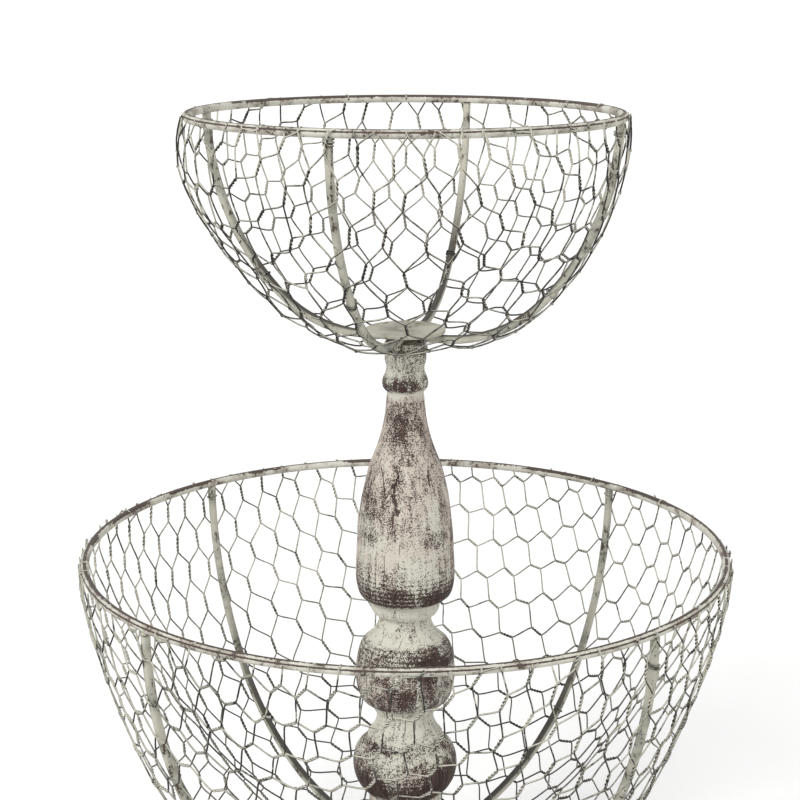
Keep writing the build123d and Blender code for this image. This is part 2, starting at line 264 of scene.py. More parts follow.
class Bowl:
    """Side view of one bowl: flat, a low arc, a high arc and upright, as the CAD ribs are bent."""

    def __init__(self, tier):
        s = sizes()
        self.tier = tier
        self.rim_radius, self.rim_height = rim_size(tier, s.rim_rod)
        for name in ("depth", "flat", "bend", "rib_turn", "net_turn", "bulge", "pull", "sway", "hub"):
            setattr(self, name, getattr(s, f"{tier}_{name}"))
        width = self.rim_radius + s.rib_depth / 2 - self.flat
        sine, cosine = math.sin(self.bend), math.cos(self.bend)
        share = sine * cosine - (1 - sine) * (1 - cosine)
        self.low = (width * cosine - self.depth * (1 - sine)) / share
        self.high = (self.depth * sine - width * (1 - cosine)) / share
        self.arc = self.low * self.bend + self.high * (math.pi / 2 - self.bend)
        self.reach = self.flat + self.arc

    def profile(self, along):
        """Radius, height and slope of the ribs' outside at a distance along the side view."""
        past = max(along - self.flat, 0)
        if past < self.low * self.bend:
            slope = past / self.low
        else:
            slope = min(self.bend + (past - self.low * self.bend) / self.high, math.pi / 2)
        near = min(slope, self.bend)
        radius = min(along, self.flat) + self.low * math.sin(near)
        height = self.rim_height + self.low * (1 - math.cos(near)) - self.depth + max(past - self.arc, 0)
        if slope > self.bend:
            radius += self.high * (math.sin(slope) - math.sin(self.bend))
            height += self.high * (math.cos(self.bend) - math.cos(slope))
        return radius, height, slope

    def place(self, along, around, lift):
        """A point lifted off the ribs' outside, and the direction of that lift."""
        radius, height, slope = self.profile(along)
        out = spot_at(math.sin(slope), around, -math.cos(slope))
        return spot_at(radius, around, height) + out * lift, out

    def net_lift(self, along, around):
        """How far the netting's middle stands off the ribs' outside."""
        s = sizes()
        step = math.tau / RIBS
        from_rib = abs((around - self.rib_turn + step / 2) % step - step / 2)
        lying = RIB_HOLD / max(self.profile(along)[0], self.hub)
        between = math.sin(RIBS / 2 * max(from_rib - lying, 0)) ** 2
        share = min(max((along - self.flat) / self.arc, 0), 1)
        form = self.bulge * math.sin(math.pi * share**3) - self.pull * math.sin(math.pi * share)
        ripple = noise.noise(spot_at(6, around, along * 40 + self.depth * 90))
        ripple *= RIPPLE * between * math.sin(math.pi * share)
        near_rim = min(max((along - self.reach + RIM_TAPER) / RIM_TAPER, 0), 1)
        return s.net_gap + s.net_wire - RIM_TUCK * near_rim + between * form + ripple


# Materials


class Nodes:
    """Short way to place and join shader nodes."""

    def __init__(self, tree):
        self.tree = tree

    def add(self, kind, settings=None, **values):
        node = self.tree.nodes.new(kind)
        for key, value in (settings or {}).items():
            setattr(node, key, value)
        for key, value in values.items():
            self.set(node, key.replace("_", " "), value)
        return node

    def set(self, node, key, value):
        socket = node.inputs[int(key[1:])] if key[0] == "i" and key[1:].isdigit() else node.inputs[key]
        if isinstance(value, bpy.types.NodeSocket):
            self.tree.links.new(value, socket)
        else:
            socket.default_value = value

    def math(self, operation, a, b=0.5):
        return self.add("ShaderNodeMath", {"operation": operation}, i0=a, i1=b).outputs[0]

    def blend(self, *parts):
        """Weighted sum of (value, weight) pairs."""
        total = 0.0
        for value, weight in parts:
            total = self.math("ADD", total, self.math("MULTIPLY", value, weight))
        return total

    def band(self, value, low, high):
        """Map low to high smoothly on to 0 to 1."""
        settings = {"clamp": True, "interpolation_type": "SMOOTHSTEP"}
        return self.add("ShaderNodeMapRange", settings, Value=value, From_Min=low, From_Max=high).outputs[0]

    def mix(self, share, a, b):
        return self.add("ShaderNodeMix", {"data_type": "RGBA"}, i0=share, i6=a, i7=b).outputs[2]

    def noise(self, where, scale, detail=4.0, rough=0.55):
        values = {"Vector": where, "Scale": scale, "Detail": detail, "Roughness": rough}
        return self.add("ShaderNodeTexNoise", None, **values).outputs[0]

    def stretch(self, where, x, y, z):
        return self.add("ShaderNodeMapping", None, Vector=where, Scale=(x, y, z)).outputs[0]

    def axes(self, vector):
        return self.add("ShaderNodeSeparateXYZ", None, Vector=vector).outputs

    def vector(self, operation, a, b):
        return self.add("ShaderNodeVectorMath", {"operation": operation}, i0=a, i1=b).outputs[0]

    def object_place(self):
        return self.add("ShaderNodeTexCoord").outputs["Object"]

    def facing(self):
        """The way the surface looks, split into its axes."""
        return self.axes(self.add("ShaderNodeNewGeometry").outputs["Normal"])

    def level_dot(self, one, other):
        """Dot product of the level parts of two split vectors."""
        first, second = self.math("MULTIPLY", one[0], other[0]), self.math("MULTIPLY", one[1], other[1])
        return self.math("ADD", first, second)


def group_tree(name, inputs, outputs):
    """A node group with named number sockets; returns it with its input and output nodes."""
    tree = bpy.data.node_groups.new(name, "ShaderNodeTree")
    for label, value in inputs:
        socket = tree.interface.new_socket(name=label, in_out="INPUT", socket_type="NodeSocketFloat")
        socket.default_value = value
    for label in outputs:
        tree.interface.new_socket(name=label, in_out="OUTPUT", socket_type="NodeSocketFloat")
    return tree, tree.nodes.new("NodeGroupInput").outputs, tree.nodes.new("NodeGroupOutput").inputs


def flaked_paint_group():
    """Paint flaked away in specks and patches; Shift adds wear and painted shade from outside the group."""
    if "flaked_paint" in bpy.data.node_groups:
        return bpy.data.node_groups["flaked_paint"]
    tree, given, taken = group_tree(
        "flaked_paint",
        (("Scale", 200.0), ("Bare", 0.5), ("Shift", 0.0)),
        ("Bare Mask", "Height", "Patches", "Grime"),
    )
    n = Nodes(tree)
    where = n.object_place()
    fine = n.noise(where, given["Scale"], 5.0, 0.68)
    broad = n.noise(where, n.math("MULTIPLY", given["Scale"], 0.17), 3.0)
    level = n.math("ADD", n.blend((fine, 0.62), (broad, 0.38), (given["Shift"], 1.0)), given["Bare"])
    mask = n.band(level, 0.97, 1.04)
    tree.links.new(mask, taken["Bare Mask"])
    tree.links.new(n.blend((fine, 0.35), (mask, -0.5)), taken["Height"])
    tree.links.new(n.band(broad, 0.40, 0.64), taken["Patches"])
    grime = n.noise(where, n.math("MULTIPLY", given["Scale"], 2.3), 3.0)
    tree.links.new(n.band(grime, 0.45, 0.75), taken["Grime"])
    return tree


def rubbed_and_shaded_rod_group():
    """Rim rod rubbed bare along a line outside and in stretches inside, with a painted shade line on its top.
    """
    if "rod_rub" in bpy.data.node_groups:
        return bpy.data.node_groups["rod_rub"]
    tree, given, taken = group_tree("rod_rub", (("Radius", 0.2),), ("Rub",))
    n = Nodes(tree)
    place = n.axes(n.object_place())
    lean = n.facing()
    run = n.math("MULTIPLY", n.math("ARCTAN2", place[1], place[0]), given["Radius"])
    along = n.add("ShaderNodeCombineXYZ", None, X=run, Y=n.math("MULTIPLY", place[2], 6.0)).outputs[0]
    streak = n.band(n.noise(along, 130.0, 4.0, 0.6), 0.22, 0.50)
    spell = n.noise(along, 14.0, 2.0, 0.5)
    outer = n.band(n.math("DIVIDE", n.level_dot(lean, place), given["Radius"]), -0.1, 0.1)
    line = n.math("SUBTRACT", n.band(lean[2], 0.14, 0.32), n.band(lean[2], 0.46, 0.62))
    line = n.math("MULTIPLY", n.math("MULTIPLY", line, outer), n.band(spell, 0.15, 0.36))
    inside = n.math("MULTIPLY", n.math("SUBTRACT", 1.0, outer), n.band(lean[2], 0.25, 0.62))
    inside = n.math("MULTIPLY", inside, n.band(spell, 0.44, 0.60))
    # Painted shade: a dark line along the rod's top edge
    crest_shade = n.band(lean[2], 0.86, 0.99)
    rub_and_shade = n.math("MULTIPLY", n.blend((line, 0.9), (inside, 0.9), (crest_shade, 0.6)), streak)
    tree.links.new(rub_and_shade, taken["Rub"])
    return tree


def brushed_wash_group():
    """Wash dragged up the grain over turned wood: speckle, streaks, long cracks and turned rings."""
    if "brushed_wash" in bpy.data.node_groups:
        return bpy.data.node_groups["brushed_wash"]
    tree, given, taken = group_tree(
        "brushed_wash",
        (("Wear", 0.5), ("Thin", 0.5), ("Seed", 0.0), ("Rings", 0.0)),
        ("Bare Mask", "Thin Mask", "Streaks", "Cracks", "Height"),
    )
    n = Nodes(tree)
    seed = n.add("ShaderNodeCombineXYZ", None, X=given["Seed"], Y=given["Seed"]).outputs[0]
    place = n.object_place()
    where = n.vector("ADD", place, seed)
    streak = n.noise(n.stretch(where, 420, 420, 24), 1.0, 4.0, 0.62)
    smear = n.noise(n.stretch(where, 120, 120, 15), 1.0, 3.0, 0.5)
    speckle = n.noise(where, 1150.0, 2.0, 0.7)
    clump = n.noise(where, 230.0, 3.0, 0.6)
    broad = n.noise(n.stretch(where, 46, 46, 34), 1.0, 3.0, 0.5)
    grained = n.blend((streak, 0.18), (smear, 0.13), (speckle, 0.42), (clump, 0.13), (broad, 0.14))
    rings = n.math("SINE", n.math("MULTIPLY", n.axes(place)[2], 2100.0))
    rings = n.math("MULTIPLY", n.math("MULTIPLY", rings, 0.05), given["Rings"])
    level = n.math("ADD", n.math("ADD", grained, rings), given["Wear"])
    bend = n.blend((n.noise(n.stretch(where, 60, 60, 30), 1.0, 2.0), 0.005))
    grain = n.stretch(n.vector("ADD", where, bend), 80, 80, 2.5)
    cell = n.add("ShaderNodeTexVoronoi", {"feature": "DISTANCE_TO_EDGE"}, Vector=grain, Scale=1.0)
    edge = n.math("SUBTRACT", 1.0, n.band(cell.outputs["Distance"], 0.004, 0.022))
    cracks = n.math("MULTIPLY", edge, n.band(n.noise(where, 38.0, 3.0), 0.50, 0.62))
    mask = n.band(level, 0.968, 1.04)
    tree.links.new(mask, taken["Bare Mask"])
    thin = n.math("ADD", n.blend((smear, 0.5), (broad, 0.5)), given["Thin"])
    tree.links.new(n.band(thin, 0.92, 1.10), taken["Thin Mask"])
    tree.links.new(streak, taken["Streaks"])
    tree.links.new(cracks, taken["Cracks"])
    tree.links.new(n.blend((streak, 0.45), (clump, 0.3), (mask, -0.5), (cracks, -0.6)), taken["Height"])
    return tree


def new_material(name):
    """A material with a Principled BSDF and nothing else."""
    material = bpy.data.materials.new(name)
    material.use_nodes = True
    tree = material.node_tree
    tree.nodes.clear()
    n = Nodes(tree)
    surface = n.add("ShaderNodeBsdfPrincipled")
    output = n.add("ShaderNodeOutputMaterial")
    tree.links.new(surface.outputs[0], output.inputs["Surface"])
    return material, n, surface


def group_node(n, tree, **values):
    return n.add("ShaderNodeGroup", {"node_tree": tree}, **values)


def bump(n, surface, height, strength, distance):
    node = n.add("ShaderNodeBump", None, Strength=strength, Distance=distance, Height=height)
    n.set(surface, "Normal", node.outputs[0])


def shade_low_in_bowl(n, tier):
    """Painted shade low in a bowl, on the faces that look up or into it."""
    bowl = Bowl(tier)
    place = n.axes(n.object_place())
    lean = n.facing()
    outward = n.math("DIVIDE", n.level_dot(lean, place), n.math("SQRT", n.level_dot(place, place)))
    inward = n.math("SUBTRACT", n.math("MULTIPLY", lean[2], 0.6), outward)
    depth = n.math("DIVIDE", n.math("SUBTRACT", bowl.rim_height, place[2]), bowl.depth)
    return n.math("MULTIPLY", n.band(inward, -0.1, 0.6), n.band(depth, 0.28, 0.76))


def rim_wear_and_crest_shade(n, radius):
    """Wear along the lines where a rim rod of this radius is rubbed, with a painted shade line on its top."""
    rub_and_shade = group_node(n, rubbed_and_shaded_rod_group(), Radius=radius).outputs["Rub"]
    return n.blend((rub_and_shade, 0.36))


def shaded_undersides(n):
    """Painted shade on faces that look down, laid on as extra bare wire."""
    down = n.math("MULTIPLY", n.facing()[2], -1.0)
    return n.blend((n.band(down, -0.15, 0.35), 0.16))


def upright_smears(n):
    """Wear in long upright smears."""
    smear = n.noise(n.stretch(n.object_place(), 420, 420, 26), 1.0, 3.0)
    return n.blend((n.band(smear, 0.5, 0.72), 0.09))


def painted_metal(name, colours, grain, bareness, relief, wear_and_shade=None, shaded_bowl="", shine=0.3):
    """Old paint over dark metal. Colours are paint, patches and bare metal; shaded_bowl names the bowl that
    shades it.
    """
    if name in bpy.data.materials:
        return bpy.data.materials[name]
    paint, patch, bare = colours
    material, n, surface = new_material(name)
    wear = group_node(n, flaked_paint_group(), Scale=grain, Bare=bareness)
    if wear_and_shade:
        n.set(wear, "Shift", wear_and_shade(n))
    wear = wear.outputs
    coat = n.mix(wear["Patches"], paint, patch)
    # Painted shade: darkens the coat low inside the bowl, on faces that look up or inward
    if shaded_bowl:
        coat = n.mix(n.blend((shade_low_in_bowl(n, shaded_bowl), 0.92)), coat, finish().painted_shade)
    grimy = tuple(0.5 * c for c in bare[:3]) + (1,)
    worn = n.mix(n.blend((wear["Grime"], 0.5)), bare, grimy)
    n.set(surface, "Base Color", n.mix(wear["Bare Mask"], coat, worn))
    n.set(surface, "Roughness", n.math("SUBTRACT", 0.74, n.math("MULTIPLY", wear["Bare Mask"], 0.16)))
    surface.inputs["Specular IOR Level"].default_value = shine
    bump(n, surface, wear["Height"], 0.5, relief)
    return material


def rib_paint(tier):
    f = finish()
    colours = f.cream_paint, f.sage_paint, f.rubbed_metal
    # Painted shade: the ribs darken low inside their bowl
    return painted_metal(f"{tier}_rib_paint", colours, 320.0, 0.42, 0.4 * MM, upright_smears, shaded_bowl=tier)


def rim_paint(tier):
    f = finish()
    colours = f.rim_paint, f.thin_paint, f.rubbed_metal
    radius = rim_size(tier, sizes().rim_rod)[0]
    # Painted shade: the rim rod darkens along its top edge
    return painted_metal(f"{tier}_rim_paint", colours, 420.0, 0.43, 0.4 * MM, lambda n: rim_wear_and_crest_shade(n, radius))


def wire_paint(tier):
    f = finish()
    colours = f.wire_paint, f.sage_paint, f.wire_bare
    # Painted shade: the wire darkens on its undersides and low inside its bowl
    return painted_metal(f"{tier}_wire_paint", colours, 230.0, 0.435, 0.2 * MM, shaded_undersides, shaded_bowl=tier)


def plate_paint():
    f = finish()
    colours = f.plate_paint, f.plate_stain, f.rubbed_metal
    return painted_metal("stained_plate", colours, 190.0, 0.415, 0.3 * MM, shine=0.1)


def zinc_steel():
    """Zinc plating, duller along its drawn grain."""
    if "drawn_zinc" in bpy.data.materials:
        return bpy.data.materials["drawn_zinc"]
    material, n, surface = new_material("drawn_zinc")
    grain = n.noise(n.stretch(n.object_place(), 900, 900, 160), 1.0)
    zinc = finish().zinc
    n.set(surface, "Base Color", n.mix(grain, zinc, tuple(0.7 * c for c in zinc[:3]) + (1,)))
    surface.inputs["Metallic"].default_value = 1.0
    n.set(surface, "Roughness", n.math("ADD", n.math("MULTIPLY", grain, 0.3), 0.25))
    bump(n, surface, grain, 0.2, 0.1 * MM)
    return material


# How the wash lies at each height: share of the turning's height, wear, strength of the turned rings and
# thinness
SPINDLE_WEAR_SHARES = (
    (0.000, 0.440, 0.0, 0.45),
    (0.113, 0.440, 0.0, 0.45),
    (0.120, 0.545, 0.0, 0.50),
    (0.160, 0.560, 0.2, 0.50),
    (0.190, 0.520, 0.2, 0.45),
    (0.208, 0.480, 0.0, 0.40),
    (0.218, 0.500, 0.0, 0.40),
    (0.228, 0.500, 0.0, 0.40),
    (0.234, 0.460, 0.0, 0.35),
    (0.262, 0.460, 0.0, 0.35),
    (0.292, 0.440, 0.0, 0.35),
    (0.302, 0.520, 0.0, 0.45),
    (0.350, 0.515, 0.0, 0.50),
    (0.382, 0.490, 0.2, 0.45),
    (0.395, 0.525, 0.3, 0.45),
    (0.424, 0.520, 0.3, 0.45),
    (0.430, 0.445, 0.0, 0.35),
    (0.470, 0.463, 0.0, 0.40),
    (0.506, 0.430, 0.0, 0.35),
    (0.512, 0.560, 0.5, 0.50),
    (0.540, 0.545, 0.5, 0.50),
    (0.565, 0.500, 0.3, 0.50),
    (0.610, 0.468, 0.0, 0.50),
    (0.700, 0.475, 0.0, 0.55),
    (0.780, 0.495, 0.0, 0.68),
    (0.890, 0.508, 0.0, 0.70),
    (0.906, 0.440, 0.0, 0.50),
    (0.914, 0.545, 0.0, 0.50),
    (0.931, 0.540, 0.0, 0.45),
    (0.942, 0.475, 0.0, 0.32),
    (1.000, 0.480, 0.0, 0.32),
)
FOOT_WEAR_SHARES = (
    (0.00, 0.50, 0.0, 0.50),
    (0.24, 0.44, 0.3, 0.45),
    (0.36, 0.52, 0.6, 0.50),
    (0.60, 0.43, 0.0, 0.45),
    (1.00, 0.47, 0.4, 0.45),
)

# Worn patches on the spindle's front in mm: across, height above its foot, half width, half height, and
# wear, below zero where more wash is left
SPINDLE_PATCHES = (
    (-7, 324, 10, 4, 0.05),
    (9, 326, 6, 5, -0.05),
    (-6, 307, 9, 8, 0.03),
    (-4, 280, 6, 32, 0.032),
    (-6.5, 250, 1.6, 26, 0.065),
    (-24, 240, 6, 22, 0.05),
    (22, 227, 9, 6, 0.05),
    (24, 186, 16, 7, 0.06),
    (18, 138, 16, 9, 0.09),
    (0, 216, 30, 10, -0.02),
    (-22, 124, 10, 7, -0.05),
    (2, 118, 9, 9, 0.03),
    (-23, 53, 11, 9, 0.08),
    (25, 58, 10, 13, 0.08),
    (2, 60, 12, 8, -0.05),
    (-14, 78, 8, 3, 0.06),
)


def worn_patches(n, place, low, patches):
    """Extra wear where the front was handled most, ragged at its edges."""
    ragged = n.add("ShaderNodeTexNoise", None, Vector=place, Scale=120.0, Detail=3.0).outputs["Color"]
    shift = n.vector("MULTIPLY", n.vector("SUBTRACT", ragged, (0.5, 0.5, 0.5)), (0.016, 0, 0.016))
    spot = n.vector("ADD", place, shift)
    total = 0.0
    for across, height, half_width, half_height, wear in patches:
        centre = (across * MM, 0, low + height * MM)
        shares = (1 / (half_width * MM), 0, 1 / (half_height * MM))
        away = n.vector("MULTIPLY", n.vector("SUBTRACT", spot, centre), shares)
        away = n.add("ShaderNodeVectorMath", {"operation": "LENGTH"}, i0=away).outputs["Value"]
        near = n.band(n.math("MULTIPLY", away, -1.0), -1.3, -0.4)
        total = n.math("ADD", total, n.math("MULTIPLY", near, wear))
    front = n.math("MULTIPLY", n.axes(place)[1], -1.0)
    return n.math("MULTIPLY", total, n.band(front, -4 * MM, 4 * MM))


def washed_wood(name, low, high, wear_shares, patches=()):
    """Dark turned wood under dry-brushed wash; the wear follows the height and the handled patches."""
    if name in bpy.data.materials:
        return bpy.data.materials[name]
    f = finish()
    material, n, surface = new_material(name)
    where = n.object_place()
    level = n.axes(where)[2]
    height = n.add("ShaderNodeMapRange", None, Value=level, From_Min=low, From_Max=high).outputs[0]
    ramp = n.add("ShaderNodeValToRGB", None, Fac=height)
    stops = ramp.color_ramp.elements
    while len(stops) < len(wear_shares):
        stops.new(0.5)
    for stop, (share, wear, rings, thin) in zip(stops, wear_shares):
        stop.position = share
        stop.color = (wear, rings, thin, 1)
    split = n.add("ShaderNodeSeparateColor", None, Color=ramp.outputs[0]).outputs
    wear = n.math("ADD", split[0], worn_patches(n, where, low, patches))
    wash = group_node(n, brushed_wash_group(), Wear=wear, Rings=split[1], Thin=split[2], Seed=low).outputs
    ground = n.mix(n.band(wash["Streaks"], 0.42, 0.70), f.bare_wood, f.worn_wood)
    coat = n.mix(wash["Thin Mask"], f.whitewash, f.rosy_wash)
    painted = n.mix(wash["Bare Mask"], coat, ground)
    n.set(surface, "Base Color", n.mix(wash["Cracks"], painted, f.bare_wood))
    n.set(surface, "Roughness", n.math("SUBTRACT", 0.82, n.math("MULTIPLY", wash["Bare Mask"], 0.2)))
    surface.inputs["Specular IOR Level"].default_value = 0.2
    bump(n, surface, wash["Height"], 0.6, 0.6 * MM)
    return material


# Netting


# How unevenly the pairs are twisted: jog as a share of their stray, lean for each mm of it, shares of the
# twist's length
JOG_SHARE = 0.3
LEAN_PER_MM = 0.055
TWIST_SHARES = (0.85, 1.12)

# Where a wire is drawn on its way to the next pair, and the fewest points that are worth a wire
WAY_SHARES = (0.1, 0.24, 0.4, 0.6, 0.76, 0.9)
FEWEST_POINTS = 5

# Wire ends over the rim: how near they end to it, how often, and the turns in degrees between which they wrap
HOOK_REACH = 8 * MM
HOOK_CHANCE = 0.1
HOOK_START = 25
HOOK_ENDS = (150, 170, 190, 230)

# Wound wire: stand-off and spacing as shares of its thickness, points in a turn, power of its square loops,
# and where it holds the netting to a rib as shares of the way from the flat to the rim
WOUND_LIFT = 0.4
WOUND_STEP = 1.6
WOUND_POINTS = 14
LOOP_POWER = 0.75
TIE_SHARES = (0.42, 0.965)

# Wire round the spindle's collar in mm: radius it lies on, height above the spindle's foot, climb and tilt
COLLAR_RADIUS = 13.5
COLLAR_HEIGHT = 346.8
COLLAR_CLIMB = 3.2
COLLAR_TILT = 0.5
COLLAR_TURNS = 2.2


def net_twists(bowl, seed):
    """Where each twisted pair of the flat sheet lies: centre, direction, length and starting turn."""
    s = sizes()
    draw = random.Random(seed)
    rows = int(bowl.reach / s.net_row) + 2
    columns = 2 * int(bowl.reach / s.net_cell) + 4
    twists = {}
    for j in range(-rows, rows + 1):
        for n in range(-columns, columns + 1):
            if (n + j) % 2 == 0:
                spot = Vector((n * s.net_cell / 2, j * s.net_row, seed))
                stray = Vector((noise.noise(spot * 20), noise.noise(spot * 20 + Vector((50, 0, 0)))))
                jog = Vector((draw.uniform(-1, 1), draw.uniform(-1, 1))) * JOG_SHARE * bowl.sway
                lean = draw.uniform(-1, 1) * LEAN_PER_MM * bowl.sway / MM
                axis = Vector((math.sin(lean), math.cos(lean)))
                long = s.net_twist * draw.uniform(*TWIST_SHARES)
                centre = spot.xy + stray * bowl.sway + jog
                twists[n, j] = centre, axis, long, draw.uniform(-0.5, 0.5)
    return twists, rows, columns


def net_lines(bowl, twists, rows, columns, hand):
    """Flat course of every wire: (spot, way off across, way off outward), twisting at each pair."""
    s = sizes()
    wire = s.net_wire / 2
    steps = 3 * s.net_half_turns
    lines = []
    for way in (1, -1):
        for lane in range(-2 * (columns // 2 + rows), columns + 2 * rows, 2):
            line = []
            for j in range(-rows, rows + 1):
                n = lane + way * j
                if (n, j) not in twists:
                    continue
                centre, axis, long, start = twists[n, j]
                for k in range(steps + 1):
                    share = k / steps
                    turn = hand * math.pi * s.net_half_turns * share + start * math.sin(math.pi * share)
                    turn += 0 if way > 0 else math.pi
                    spot = centre + axis * ((share - 0.5) * long)
                    line.append((spot, -wire * math.cos(turn), wire * math.sin(turn)))
                if (n + way, j + 1) not in twists:
                    continue
                after, after_axis, after_long, _ = twists[n + way, j + 1]
                a, b = centre + axis * (long / 2), after - after_axis * (after_long / 2)
                pull = s.net_ease * (b - a).length
                for share in WAY_SHARES:
                    square, cube = share**2, share**3
                    spot = a * (2 * cube - 3 * square + 1) + b * (3 * square - 2 * cube)
                    spot += axis * pull * (cube - 2 * square + share) + after_axis * pull * (cube - square)
                    line.append((spot, wire * way * (1 - 2 * share), 0))
            lines.append(line)
    return lines


def netting_strands(bowl, seed):
    """The flat sheet of netting laid over the bowl, its wires ending beside or over the rim."""
    s = sizes()
    draw = random.Random(seed)
    hand = 1 if bowl.tier == "lower" else -1
    strands = Strands(6)
    for line in net_lines(bowl, *net_twists(bowl, seed), hand):
        runs, run = [], []
        for item in line:
            if bowl.hub < item[0].length < bowl.reach + s.rim_rod / 2:
                run.append(item)
            elif run:
                runs.append(run)
                run = []
        runs.append(run)
        for run in runs:
            if len(run) < FEWEST_POINTS:
                continue
            laid = []
            for spot, across, out in run:
                along = spot.length
                around = math.atan2(spot.y, spot.x) + bowl.net_turn - math.pi / 2
                laid.append((*bowl.place(along, around, bowl.net_lift(along, around)), across, out))
            path = []
            for k, (place, out_way, across, out) in enumerate(laid):
                ahead = laid[min(k + 1, len(laid) - 1)][0] - laid[max(k - 1, 0)][0]
                across_way = ahead.normalized().cross(out_way).normalized()
                path.append(place + across_way * across + out_way * out)
            for end in (0, -1):
                if run[end][0].length > bowl.reach - HOOK_REACH and draw.random() < HOOK_CHANCE:
                    hook = rim_hook(bowl, path[end], draw)
                    path = list(reversed(hook)) + path if end == 0 else path + hook
            strands.add(path, s.net_wire / 2)
    return strands


def rim_hook(bowl, last, draw):
    """The end of a wire bent over the rim rod from outside."""
    s = sizes()
    around = math.atan2(last.y, last.x)
    size = s.rim_rod / 2 + 0.1 * s.net_wire
    wrap = draw.choice(HOOK_ENDS)
    path = []
    for k in range(10):
        turn = math.radians(HOOK_START + (wrap - HOOK_START) * k / 9)
        spin = around + draw.uniform(-0.1, 0.1) * MM / bowl.rim_radius
        radius = bowl.rim_radius + size * math.cos(turn)
        path.append(spot_at(radius, spin, bowl.rim_height + size * math.sin(turn)))
    return path


def lashing(bowl, along, around, turns, draw):
    """Wire wound a few times round a rib."""
    s = sizes()
    path = []
    wide, deep = s.rib_width / 2 + WOUND_LIFT * s.net_wire, s.rib_depth / 2 + WOUND_LIFT * s.net_wire
    steps = WOUND_POINTS * turns
    for k in range(steps + 1):
        climb = along + (k / steps - 0.5) * turns * s.net_wire * WOUND_STEP + draw.uniform(-0.08, 0.08) * MM
        centre, out = bowl.place(climb, around, -s.rib_depth / 2)
        side = Vector((-math.sin(around), math.cos(around), 0))
        c, d = squarish(math.tau * turns * k / steps, LOOP_POWER)
        path.append(centre + side * wide * c + out * deep * d)
    return path


def collar_wire(draw):
    """Wire wound twice round the spindle's collar, under the ribs."""
    s = sizes()
    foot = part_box("spindle")[0][2]
    steps = 90
    path = []
    for k in range(steps + 1):
        turn = COLLAR_TURNS * math.tau * k / steps
        height = COLLAR_HEIGHT + COLLAR_CLIMB * k / steps + COLLAR_TILT * math.sin(turn)
        radius = COLLAR_RADIUS * MM + WOUND_LIFT * s.net_wire + draw.uniform(-0.04, 0.04) * MM
        path.append(spot_at(radius, turn, foot + height * MM))
    return path


# Operators, one for each group of pieces


# Rims: how far they stray from round, and how much smaller than the solid rims they are rolled
RIM_STRAY = 0.1 * MM

# Ribs: where they start from the axis, how far they are sunk in the rim, power of their square section
RIB_START = 9 * MM
RIB_SINK = 0.4 * MM
BAR_POWER = 0.72

# Plates: radius of the hole for the rod or screw
PLATE_HOLES = {"lower": 4.1 * MM, "upper": 5.6 * MM}


class BASKET_OT_rims(bpy.types.Operator):
    """Roll the two rims from round rod"""

    bl_idname = "basket.rims"
    bl_label = "Rims"

    def execute(self, context):
        s = sizes()
        steps = 360
        for tier in TIERS:
            radius, height = rim_size(tier, s.rim_rod)
            strands = Strands(20)
            path = []
            for k in range(steps):
                turn = math.tau * k / steps
                stray = noise.noise(spot_at(3, turn, radius * 90)) * RIM_STRAY
                path.append(spot_at(radius + stray - RIM_STRAY, turn, height))
            strands.add(path, s.rim_rod / 2, closed=True)
            rod = strands.points, strands.faces, rim_paint(tier), "cream_paint"
            mesh_piece(f"{tier}_rim_rod", *rod, f"{tier}_bowl", (f"{tier}_rim",))
        return {"FINISHED"}


class BASKET_OT_ribs(bpy.types.Operator):
    """Bend the ribs of both bowls from rounded bar"""

    bl_idname = "basket.ribs"
    bl_label = "Ribs"

    def execute(self, context):
        s = sizes()
        steps, sides = 80, 16
        for tier in TIERS:
            bowl = Bowl(tier)
            way = bowl.reach - s.rim_rod / 2 + RIB_SINK - RIB_START
            for count in range(RIBS):
                around = bowl.rib_turn + count * math.tau / RIBS
                side = Vector((-math.sin(around), math.cos(around), 0))
                points = []
                for k in range(steps + 1):
                    centre, out = bowl.place(RIB_START + way * k / steps, around, -s.rib_depth / 2)
                    broad, fine = noise.noise(centre * 70), noise.noise(centre * 260)
                    uneven = 1 - 0.035 * (1 + broad) - 0.02 * (1 + fine)
                    for m in range(sides):
                        c, d = squarish(math.tau * m / sides, BAR_POWER)
                        across, deep = s.rib_width / 2 * uneven * c, s.rib_depth / 2 * uneven * d
                        points.append(centre + side * across + out * deep)
                faces = band_faces(steps + 1, sides)
                faces.append(tuple(reversed(range(sides))))
                faces.append(tuple(steps * sides + m for m in range(sides)))
                name = f"{tier}_rib_{count + 1}"
                bar = points, faces, rib_paint(tier), "cream_paint"
                mesh_piece(f"{name}_bar", *bar, f"{tier}_bowl", (name,))
        return {"FINISHED"}


class BASKET_OT_plates(bpy.types.Operator):
    """Turn the round plates with softened edges"""

    bl_idname = "basket.plates"
    bl_label = "Plates"

    def execute(self, context):
        soft = sizes().plate_round
        for tier, hole in PLATE_HOLES.items():
            low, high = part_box(f"{tier}_disc")
            radius = (high[0] - low[0]) / 2
            outline = [
                (hole, low[2]),
                (radius - soft, low[2]),
                (radius - 0.3 * soft, low[2] + 0.3 * soft),
                (radius, low[2] + soft),
                (radius, high[2] - soft),
                (radius - 0.3 * soft, high[2] - 0.3 * soft),
                (radius - soft, high[2]),
                (hole, high[2]),
                (hole, low[2]),
            ]
            plate = *lathe(outline, 96), plate_paint(), "plate_paint"
            mesh_piece(f"{tier}_plate", *plate, f"{tier}_bowl", (f"{tier}_disc",))
        return {"FINISHED"}


